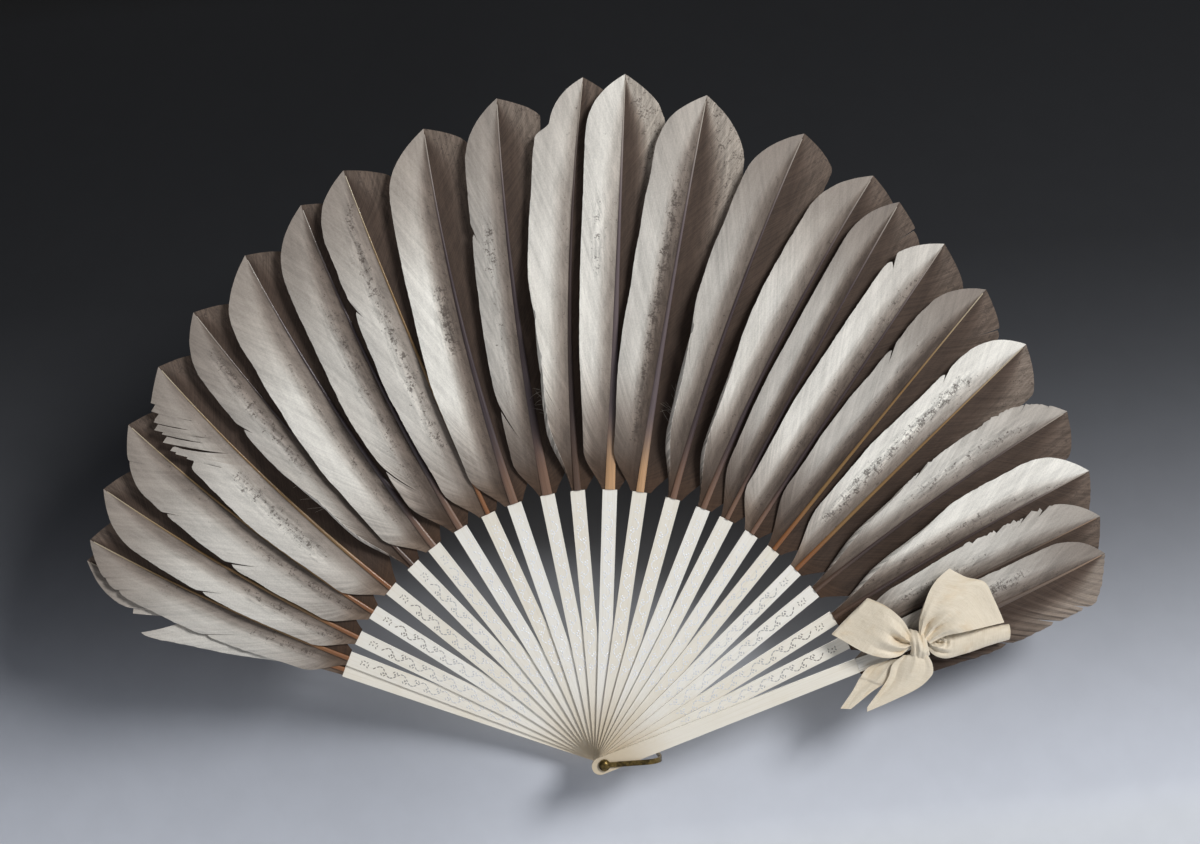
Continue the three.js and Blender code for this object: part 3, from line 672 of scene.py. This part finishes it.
def make_vanes(plume, number):
    random = np.random.default_rng(number)
    points, faces, layers = [], [], []
    start = 0
    for side in (LEFT, RIGHT):
        sheet, quads, barbs, places = vane_sheet(plume, side, random)
        solid, closed = shell(sheet, quads, VANE_THICKNESS)
        points.append(solid)
        faces.append(closed + start)
        start += len(solid)
        seed = np.full(len(barbs), number * PATTERN_STEP)
        layer = {"barb": np.column_stack([barbs, seed]), "place": np.column_stack([sheet[:, :2], seed]),
                 "tint": vane_tint(plume, places), "fleck": vane_flecks(plume, places),
                 "strand": vane_strands(plume, places)}
        layers += [layer, layer]  # front and back of the shell
    attributes = {key: np.concatenate([layer[key] for layer in layers]) for key in layers[0]}
    placed = to_part(np.concatenate(points), plume.angle, vane_z(number))
    piece = mesh_object(f"vanes_{number:02d}", placed, np.concatenate(faces), VANE, attributes)
    finish_feather(piece, number)
    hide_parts(f"feather_{number:02d}")


def finish_feather(piece, number):
    """Hangs the piece on its leaf's body and gives it a mesh of its own."""
    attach(piece, body_name(number))
    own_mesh(piece)


# Colours of a quill at its base, along its middle and at its tip, and the share along where the first ends
PALE_TIP = tint_of(206, 198, 180)
BROWN_TIP = tint_of(164, 134, 108)
SHAFTS = {
    "gold": (tint_of(142, 92, 54), tint_of(146, 114, 72), PALE_TIP, 0.04),
    "plum": (tint_of(128, 98, 80), tint_of(72, 61, 64), PALE_TIP, 0.04),
    "tan": (tint_of(206, 162, 120), tint_of(108, 96, 98), PALE_TIP, 0.04),
    # The dark bases of dark and brown are partly the quills' own colour and partly painted shade, for quills
    # that lie in shadow.
    "dark": (tint_of(92, 72, 60), tint_of(70, 58, 56), PALE_TIP, 0.04),
    "brown": (tint_of(92, 72, 60), tint_of(98, 84, 74), BROWN_TIP, 0.04),
    "cream": (tint_of(250, 247, 239), tint_of(100, 86, 76), BROWN_TIP, 0.24),
}
SHAFT_FADE = 0.18


def make_shaft(plume, number):
    """The tapered quill on the front of the vanes."""
    stations, sides = 60, 10
    share = np.linspace(0, SHAFT_END, stations + 1)[:, None]
    length = plume.length
    radius = SHAFT_TIP_RADIUS + (plume.quill - SHAFT_TIP_RADIUS) * (1 - share) ** SHAFT_TAPER
    turn = np.linspace(0, 2 * np.pi, sides, endpoint=False)
    x = plume.lean * share ** 2 + radius * np.cos(turn)
    y = FEATHER_BASE_Y + length * share + 0 * turn
    height = np.minimum(radius, SHAFT_HEIGHT)
    z = TIP_BEND * share ** 3 + SHAFT_LIFT + height * (0.4 + 0.6 * np.sin(turn))
    points = np.column_stack([x.ravel(), y.ravel(), z.ravel()])
    along = np.repeat(share, sides)
    base, middle, tip, start = SHAFTS[plume.shaft]
    tint = blend(base, middle, smoothstep(along, start, start + SHAFT_FADE))
    tint = blend(tint, tip, smoothstep(along, 0.6, 1.0) * 0.85)
    barb = np.column_stack([along * length, np.tile(turn, stations + 1), np.full(len(along), number)])
    placed = to_part(points, plume.angle, vane_z(number))
    faces = tube_faces(stations, sides)
    piece = mesh_object(f"shaft_{number:02d}", placed, faces, SHAFT, {"barb": barb, "tint": tint})
    finish_feather(piece, number)


# Downy threads: how many, the share of the vane's width at which they root, their radii and their lift
DOWN_THREADS = 16
DOWN_ROOT = 0.55
DOWN_RADIUS = 0.09
DOWN_TIP_RADIUS = 0.03
DOWN_LIFT = 1.1


def make_down(number, share, longest):
    """Loose downy barbs that curl out from below the left vane near its foot, each a thin tapered thread."""
    random = np.random.default_rng(100 + number)
    plume = LEAVES[number - 1]
    stations, sides = 12, 4
    turn = np.linspace(0, 2 * np.pi, sides, endpoint=False)
    points, faces = [], []
    for _ in range(DOWN_THREADS):
        along = share + random.normal(0, 0.025)
        x = plume.lean * along ** 2 - DOWN_ROOT * float(vane_width(plume, LEFT, along))
        y = FEATHER_BASE_Y + along * plume.length
        heading, curl = random.uniform(1.7, 2.9), random.normal(0, 1.1)
        step = random.uniform(0.45, 1) * longest / stations
        faces += tube_faces(stations, sides, len(points))
        for passed in np.linspace(0, 1, stations + 1):
            radius = DOWN_RADIUS + (DOWN_TIP_RADIUS - DOWN_RADIUS) * passed
            offset = radius * np.cos(turn)
            height = 0.1 + DOWN_LIFT * passed + radius * (1 + np.sin(turn))
            points += zip(x + offset * math.sin(heading), y - offset * math.cos(heading), height)
            heading += curl / stations
            x += step * math.cos(heading)
            y += step * math.sin(heading)
    points = np.array(points)
    count = len(points)
    place = np.column_stack([points[:, :2], np.full(count, number * PATTERN_STEP)])
    attributes = {"barb": place, "place": place, "tint": np.tile(FAWN, (count, 1)),
                  "fleck": np.zeros(count), "strand": np.zeros(count)}
    placed = to_part(points, plume.angle, vane_z(number))
    piece = mesh_object(f"down_{number:02d}", placed, faces, VANE, attributes)
    finish_feather(piece, number)


for number, plume in enumerate(LEAVES, start=1):
    make_vanes(plume, number)
    make_shaft(plume, number)

for number, share, longest in ((6, 0.33, 13), (12, 0.2, 10.5), (15, 0.21, 12)):
    make_down(number, share, longest)


# Sticks, rivet and bail keep the shape of their solids
WORN_EDGE = 0.22


def dress(name, material):
    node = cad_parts[name]
    for slot in node.material_slots:
        slot.link = "OBJECT"
        slot.material = material
    return node


for number in range(1, len(LEAVES) + 1):
    edge = dress(stick_name(number), BONE).modifiers.new("worn_edge", "BEVEL")
    edge.width = WORN_EDGE * MM
    edge.segments = 2
    edge.limit_method = "ANGLE"

for name in ("rivet", "bail"):
    dress(name, BRASS)


# Silver pins set in a running scroll on the inner sticks
PIN_HEIGHT = 0.12
SCROLL_FOOT = 42
SCROLL_TOP = 116
SCROLL_WAVE = 11
SCROLL_REACH = 1.7
FLOWER_PLACE = 120.5  # distance from the rivet of the small flower that ends the scroll


def scroll_marks():
    """Pins as (offset, distance from the rivet, half length, half width, turn from the stick)."""
    marks = []
    for r in np.arange(SCROLL_FOOT, SCROLL_TOP, 1.5):
        phase = 2 * np.pi * r / SCROLL_WAVE
        slope = SCROLL_REACH * 2 * np.pi / SCROLL_WAVE * math.cos(phase)
        marks.append((SCROLL_REACH * math.sin(phase), r, 0.85, 0.3, math.atan(slope)))
    for r in np.arange(SCROLL_FOOT + SCROLL_WAVE / 4, SCROLL_TOP, SCROLL_WAVE / 2):
        side = -np.sign(math.sin(2 * np.pi * r / SCROLL_WAVE))
        marks.append((side * 0.6, r, 0.5, 0.5, 0))
        marks.append((side * 1.5, r - 0.8, 0.7, 0.3, side * 0.9))
        marks.append((side * 1.5, r + 0.8, 0.7, 0.3, -side * 0.9))
    for turn in np.linspace(-0.7 * np.pi, 0.6 * np.pi, 6):
        marks.append((1.5 * math.cos(turn), FLOWER_PLACE + 1.9 * math.sin(turn), 0.6, 0.24, turn))
    marks.append((-0.2, FLOWER_PLACE + 0.2, 0.4, 0.4, 0))
    return marks


def make_pins(number):
    sides = 8
    turn = np.linspace(0, 2 * np.pi, sides, endpoint=False)
    rings = ((1.0, 0.0), (0.72, 0.7 * PIN_HEIGHT))
    points, faces = [], []
    for offset, r, length, width, lean in scroll_marks():
        start = len(points)
        for share, z in rings:
            x, y = width * share * np.cos(turn), length * share * np.sin(turn)
            points += zip(offset + x * math.cos(lean) + y * math.sin(lean),
                          r - x * math.sin(lean) + y * math.cos(lean), [z] * sides)
        points.append((offset, r, PIN_HEIGHT))
        faces.append(list(range(start, start + sides))[::-1])
        for k in range(sides):
            following = (k + 1) % sides
            faces.append([start + k, start + following, start + sides + following, start + sides + k])
            faces.append([start + sides + k, start + sides + following, start + 2 * sides])
    placed = to_part(np.array(points), LEAVES[number - 1].angle, leaf_z(number))
    piece = mesh_object(f"pins_{number:02d}", placed, faces, SILVER)
    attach(piece, body_name(number))


for number in range(2, len(LEAVES)):
    make_pins(number)


# Bow: points in mm from the middle of the knot, heights in mm from the front leaf's face
BOW_Z = leaf_z(len(LEAVES))
BOW_TURN = math.radians(LEAVES[-1].angle)
BOW_RADIUS = STICK_LENGTH + BOW_RISE
BOW_CENTRE = (BOW_RADIUS * math.cos(BOW_TURN), BOW_RADIUS * math.sin(BOW_TURN))
SILK_THICKNESS = 0.35
TUCK = 0.8  # how much lower a tail lies where it is folded under
RIBBON_WIDTH = 24
LOOP_TURN = 0.44  # share of a folded ribbon's way at which it starts to turn back
TURN_REACH = 0.04  # share of its reach that the turn takes up
WAY = np.linspace(0, 1, 81)  # out to a fold and back
TURN = np.pi * np.clip((WAY - LOOP_TURN) / (1 - 2 * LOOP_TURN), 0, 1)


def smooth_curve(points, at):
    """A curve through a few points, at shares of its length."""
    points = np.array(points, float)
    step = np.linalg.norm(np.diff(points, axis=0), axis=1)
    knots = np.concatenate([[0], np.cumsum(step)]) / step.sum()
    slope = np.gradient(points, knots, axis=0)
    k = np.clip(np.searchsorted(knots, at, side="right") - 1, 0, len(step) - 1)
    gap = (knots[k + 1] - knots[k])[:, None]
    t = (at - knots[k])[:, None] / gap
    ends = points[k] * (1 + 2 * t) * (1 - t) ** 2 + points[k + 1] * t ** 2 * (3 - 2 * t)
    return ends + gap * (slope[k] * t * (1 - t) ** 2 - slope[k + 1] * t ** 2 * (1 - t))


def creases(along, across, folds):
    """Height of folds given as (share across at the knot, share across at the end, reach, height, width)."""
    along, across = np.meshgrid(along, across, indexing="ij")
    height = np.zeros_like(along)
    for start, finish, reach, lift, width in folds:
        middle = start + (finish - start) * np.clip(along / reach, 0, 1)
        spread = width * (0.6 + 0.8 * along / reach)
        crest = np.exp(-(np.abs((across - middle) / spread) ** 1.4))
        height += lift * crest * (1 - smoothstep(along, 0.35 * reach, reach))
    return height


def wrinkles(along, across, seed, size):
    """Slight unevenness of old silk."""
    random = np.random.default_rng(seed)
    along, across = np.meshgrid(along, across, indexing="ij")
    height = np.zeros_like(along)
    for _ in range(9):
        a, b = random.uniform(-7, 7, 2)
        height += random.normal(0, size) * np.sin(a * along * 2 + b * across + random.uniform(0, 6))
    return height


def ribbon_plan(upper, lower, end, along, across):
    """Plan of a ribbon between its side edges. Its end runs through the points of end, if there are any."""
    top, bottom = smooth_curve(upper, along), smooth_curve(lower, along)
    share = across[None, :, None]
    plan = top[:, None] * (1 - share) + bottom[:, None] * share
    if end:
        last = smooth_curve([upper[-1], *end, lower[-1]], np.clip(across, 0, 1))
        straight = np.array(upper[-1]) * (1 - across[:, None]) + np.array(lower[-1]) * across[:, None]
        plan = plan + (along ** 2)[:, None, None] * (last - straight)[None]
    return plan


def make_ribbon(name, plan, z, flat, seed):
    rows, columns = z.shape
    points = np.column_stack([plan.reshape(-1, 2), z.ravel()])
    faces = grid_faces(rows - 1, columns - 1)
    across, along = np.meshgrid(np.linspace(0, RIBBON_WIDTH, columns), np.linspace(0, flat[1] / MM, rows))
    weave = np.column_stack([across.ravel(), along.ravel(), np.full(across.size, seed * 11.0)])
    if sheet_normals(points, faces)[:, 2].mean() < 0:
        faces = faces[:, ::-1]
    solid, closed = shell(points, faces, SILK_THICKNESS)
    placed = to_part(solid, z=BOW_Z, origin=BOW_CENTRE)
    piece = mesh_object(name, placed, closed, SILK, {"weave": np.tile(weave, (2, 1))})
    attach(piece, "front_leaf")
    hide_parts(f"bow_{name}")


def make_loop(name, upper, lower, end, peek, low, depth, folds, flat, seed):
    """A ribbon that runs out from the knot, turns back and returns behind itself."""
    across = np.linspace(0, 1, 45)
    straight = np.minimum(WAY, 1 - WAY) / LOOP_TURN * (1 - TURN_REACH)
    turned = 1 - TURN_REACH + TURN_REACH * np.sin(TURN)
    along = np.where((TURN > 0) & (TURN < np.pi), turned, straight)
    front = (1 + np.cos(TURN))[:, None] / 2
    plan = ribbon_plan(upper, lower, end, along, across)
    shift = ((1 - front) * (along ** 2)[:, None] * ((1 - across) ** 2.5)[None])[..., None] * np.array(peek)
    opening = smoothstep(along, 0.0, 0.45)[:, None]
    pressed = 1 - 0.62 * smoothstep(along, 0.5, 1.0)[:, None]
    pinch = 0.35 * depth
    belly = 0.92 + 0.16 * np.sin(np.pi * across)[None]
    z_front = low + pinch + (depth * belly * pressed - pinch) * opening + creases(along, across, folds)
    z_back = low + pinch * (1 - opening) + 0.2 * creases(along, 1 - across, folds)
    z = z_back + (z_front - z_back) * front + wrinkles(along, across, seed, 0.2) * opening
    make_ribbon(name, plan + shift, np.maximum(z, low), flat, seed)


def make_doubled(name, upper, lower, swirl, low, depth, folds, flat, seed):
    """A ribbon end folded in two along its length, with the fold on top and both edges below."""
    along = np.linspace(0, 1, 61)
    across = np.maximum(np.abs(WAY - 0.5) - 0.5 + LOOP_TURN, 0) / LOOP_TURN
    across = TURN_REACH + (1 - TURN_REACH) * across - TURN_REACH * np.sin(TURN)
    front = (1 - np.cos(TURN))[None] / 2
    plan = ribbon_plan(upper, lower, [], along, across)
    opening = smoothstep(along, 0.0, 0.3)[:, None]
    belly = 0.35 + 0.65 * np.sin(np.pi * np.clip(across, 0, 1))[None] ** 0.7
    z = low + depth * front * (0.5 + (belly - 0.5) * opening) + creases(along, across, folds) * front
    around = np.linalg.norm(plan - np.array(swirl), axis=-1)
    rosette = 0.9 * np.cos(2.6 * around) * np.exp(-((around / 4.5) ** 2))
    z = z + (wrinkles(along, across, seed, 0.08) + rosette) * front
    make_ribbon(name, plan, np.maximum(z, low), flat, seed)


def make_tail(name, upper, lower, low, rise, turned, folds, flat, seed):
    """A cut end of ribbon. Beyond the share turned it is folded under and lies lower."""
    along = np.linspace(0, 1, 61)
    across = np.linspace(0, 1, 45)
    plan = ribbon_plan(upper, lower, [], along, across)
    z = low + rise * (1 - smoothstep(along, 0.0, 0.7))[:, None] + creases(along, across, folds)
    z = z + wrinkles(along, across, seed, 0.09) - TUCK * smoothstep(along, turned, turned + 0.03)[:, None]
    make_ribbon(name, plan, np.maximum(z, low - TUCK), flat, seed)


def make_knot():
    """A short ribbon wrapped over the middle of the bow, in pleats that run round it."""
    round_way = np.linspace(-1.9, 1.9, 61)
    across = np.linspace(-1, 1, 45)
    swing, share = np.meshgrid(round_way, across, indexing="ij")
    waist = 1 - 0.2 * np.cos(swing * 0.9) ** 2
    pleat = 0.35 * np.cos(share * 5.5 + 0.9 * swing) + 0.25 * np.cos(share * 11 + 1 - 1.4 * swing)
    pleat = pleat + 0.2 * np.cos(share * 4 + 5 * swing)
    edge = 1 - 0.3 * share ** 4
    half_width, half_height, depth = 5, 6.6, 6.8
    middle, low = (0.8, 0.3, 4.6), 2.9
    x = middle[0] + half_width * share * waist - 1.2 * np.sin(swing)
    y = middle[1] + (half_height + pleat) * np.sin(swing) * edge
    z = middle[2] + (depth + pleat) * np.cos(swing) * edge
    plan = np.stack([x, y], axis=-1)
    make_ribbon("knot", plan, np.maximum(z, low), (0.013, 0.027), 6)


make_loop("loop_left",
          upper=[(-1.6, 3.5), (-8.4, 13.5), (-15.5, 18.5), (-24.8, 22)],
          lower=[(-3.5, -0.8), (-7.7, -4.3), (-14.1, -5.4), (-20.5, -4.3), (-40.5, 5.3)],
          end=[], peek=(1.2, 0.6), low=6.3, depth=5.0, flat=(0.024, 0.076), seed=1,
          folds=[(0.5, 0.44, 0.55, -5.5, 0.07), (0.36, 0.26, 0.6, 1.6, 0.07), (0.66, 0.62, 0.65, 1.8, 0.08),
                 (0.85, 0.8, 0.7, -1.4, 0.07), (0.15, 0.1, 0.7, -1.0, 0.08)])
make_loop("loop_upper",
          upper=[(0.9, 6.0), (0.9, 14.2), (2.3, 19.9), (5.8, 27.7), (9.4, 32.4)],
          lower=[(6.3, 1.1), (14.4, 5.6), (20.8, 7.1), (35.1, 9.9), (41.9, 11.3)],
          end=[(20.8, 30.9), (31.8, 29.4), (36.2, 22.7), (39.6, 16.3)], peek=(6.8, 5.3),
          low=6.3, depth=5.0, flat=(0.024, 0.084), seed=2,
          folds=[(0.3, 0.36, 0.55, -3.6, 0.05), (0.12, 0.1, 0.9, 1.0, 0.08), (0.45, 0.5, 0.7, 1.5, 0.06),
                 (0.6, 0.64, 0.5, -2.8, 0.05), (0.8, 0.82, 0.6, 1.3, 0.06), (0.4, 0.2, 1.3, 0.7, 0.1)])
make_doubled("loop_lower",
             upper=[(7.0, 2.6), (14.4, 5.3), (24.4, 7.6), (45.1, 9.9)],
             lower=[(5.6, -0.8), (8.7, -4.3), (13.7, -6.1), (23, -4.3), (35.1, -0.1), (45.4, 2.8)],
             swirl=(11.5, 1.8), low=3.0, depth=3.8, flat=(0.024, 0.042), seed=3,
             folds=[(0.25, 0.45, 0.32, -2.6, 0.07), (0.5, 0.65, 0.32, 1.6, 0.06),
                    (0.75, 0.8, 0.4, -1.6, 0.07)])
make_tail("tail_front",
          upper=[(-6.4, -4.5), (-11.3, -8.6), (-12.7, -14.3), (-17, -21.5), (-22.7, -29.3)],
          lower=[(5, -3.5), (7.7, -8.6), (8, -13.2), (6, -16), (-9.8, -25.7), (-22.7, -31.4)],
          low=6.4, rise=1.6, turned=1.2, flat=(0.018, 0.032), seed=4,
          folds=[(0.12, 0.35, 1.0, -1.3, 0.1), (0.5, 0.5, 0.5, 0.9, 0.15), (0.8, 0.85, 0.6, -0.5, 0.1)])
make_tail("tail_back",
          upper=[(-14, -7.5), (-23.4, -11.8), (-25.5, -15), (-28.4, -20.7), (-34.8, -30.4)],
          lower=[(-6, -6.2), (-9.8, -11), (-12.1, -15.8), (-20.5, -22.9), (-29.8, -30.7)],
          low=3.9, rise=0.8, turned=0.45, flat=(0.012, 0.026), seed=5,
          folds=[(0.7, 0.6, 1.2, 0.9, 0.15), (0.25, 0.3, 1.2, -0.6, 0.15)])
make_knot()


# Stage, light and camera
def make_backdrop():
    """A pale floor that curves up into a graded wall behind the fan. The wall is clear from behind.

    Above the rivet the wall leans back, and left of the rivet it draws back, so the shadow of the
    feathers falls behind the sticks and below the rear guard.
    """
    floor_z, wall_y, bend = -0.1, 0.006, 0.04
    reach, height, half = 2.2, 1.6, 2.2
    retreat, lean, ease = 0.34, 0.9, 0.1
    turn = np.linspace(0, np.pi / 2, 9)
    rises = (0, 0.02, 0.05, 0.1, 0.2, 0.4, height)
    profile = [(-reach, floor_z)]
    profile += [(wall_y - bend + bend * math.sin(a), floor_z + bend - bend * math.cos(a)) for a in turn]
    profile += [(wall_y + lean * rise ** 2 / (rise + ease), rise) for rise in rises]
    columns = np.array([-half, *np.linspace(-ease, 0, 7), half])
    drawn = retreat * (np.clip(-columns, 0, ease) ** 2 / (2 * ease) + np.maximum(-columns - ease, 0))
    points = np.array([(x, y + back, z) for y, z in profile for x, back in zip(columns, drawn)])
    faces = grid_faces(len(profile) - 1, len(columns) - 1)
    piece = mesh_object("backdrop", points, faces, backdrop_material())
    piece.visible_shadow = False


def backdrop_material():
    """Pale at the foot and dark above, and darker towards the left as painted shade, where the key's light
    falls off.
    """
    n = Nodes("backdrop", 0.9, Specular_IOR_Level=0.1)
    place = n.place()
    split = n.add("ShaderNodeSeparateXYZ", {0: place})
    # The tilt paints the wall darker towards the left: painted shade for the key's light falling off.
    low, high, shade_tilt = -0.06, 0.43, 0.09
    height = n.math("SUBTRACT", split.outputs[2], n.math("MULTIPLY", split.outputs[0], shade_tilt))
    ramp = n.add("ShaderNodeValToRGB", {0: n.ramp(height, low, high, kind="LINEAR")})
    ramp.color_ramp.interpolation = "B_SPLINE"
    heights = ((0.41, 0.016), (0.235, 0.025), (0.16, 0.06), (0.094, 0.17), (0.03, 0.405), (-0.04, 0.72))
    stops = ramp.color_ramp.elements
    stops[0].color = (0.7, 0.72, 0.75, 1)
    stops[1].color = (0.012, 0.012, 0.012, 1)
    for height, value in heights:
        stops.new((height - low) / (high - low)).color = (value * 0.94, value * 0.98, value * 1.08, 1)
    paper = n.noise(place, scale=60.0, detail=3)
    n.colour(n.mix(n.ramp(paper, 0.3, 0.7, 0.0, 0.03), ramp.outputs[0], (0, 0, 0, 1)))
    clear = n.add("ShaderNodeBsdfTransparent").outputs[0]
    behind = n.add("ShaderNodeNewGeometry").outputs["Backfacing"]
    shown = n.add("ShaderNodeMixShader", {0: behind, 1: n.shader.outputs[0], 2: clear})
    n.feed(n.tree.nodes["Material Output"].inputs["Surface"], shown.outputs[0])
    return n.material


LAMP_AIM = Vector((0, 0, 0.16))  # the middle of the fan


def area_light(name, place, size, watts):
    lamp = bpy.data.lights.new(name, "AREA")
    lamp.shape = "DISK"
    lamp.size = size
    lamp.energy = watts
    piece = new_object(name, lamp)
    piece.location = place
    piece.rotation_euler = (LAMP_AIM - Vector(place)).to_track_quat("-Z", "Y").to_euler()


def make_world():
    world = bpy.data.worlds.new("studio")
    world.use_nodes = True
    background = world.node_tree.nodes["Background"]
    background.inputs["Color"].default_value = (0.86, 0.9, 1.0, 1)
    background.inputs["Strength"].default_value = 0.055
    bpy.context.scene.world = world


def make_camera():
    """The camera stands a little to the left of the fan's normal and above it, and leans a little."""
    distance, focal_px = 1.12, 2374
    azimuth, elevation, roll = math.radians(5.5), math.radians(3), math.radians(0.95)
    target = Vector((-0.0033, -0.016, 0.1603))
    back = Vector((-math.sin(azimuth) * math.cos(elevation), -math.cos(azimuth) * math.cos(elevation),
                   math.sin(elevation)))
    camera = bpy.data.cameras.new("camera")
    camera.sensor_width = 36
    camera.lens = focal_px / PHOTO_WIDTH * camera.sensor_width
    piece = new_object("camera", camera)
    piece.location = target + back * distance
    level = (-back).to_track_quat("-Z", "Y").to_matrix()
    piece.rotation_euler = (level @ Matrix.Rotation(roll, 3, "Z")).to_euler()
    bpy.context.scene.camera = piece


make_backdrop()
make_world()
make_camera()
area_light("key", (1.3, -1.95, 1.45), size=0.9, watts=54)
area_light("fill", (-0.9, -1.2, 0.4), size=1.0, watts=0.8)
area_light("back", (-0.3, 1.1, 0.9), size=1.0, watts=15)

bpy.context.scene.view_settings.view_transform = "Standard"
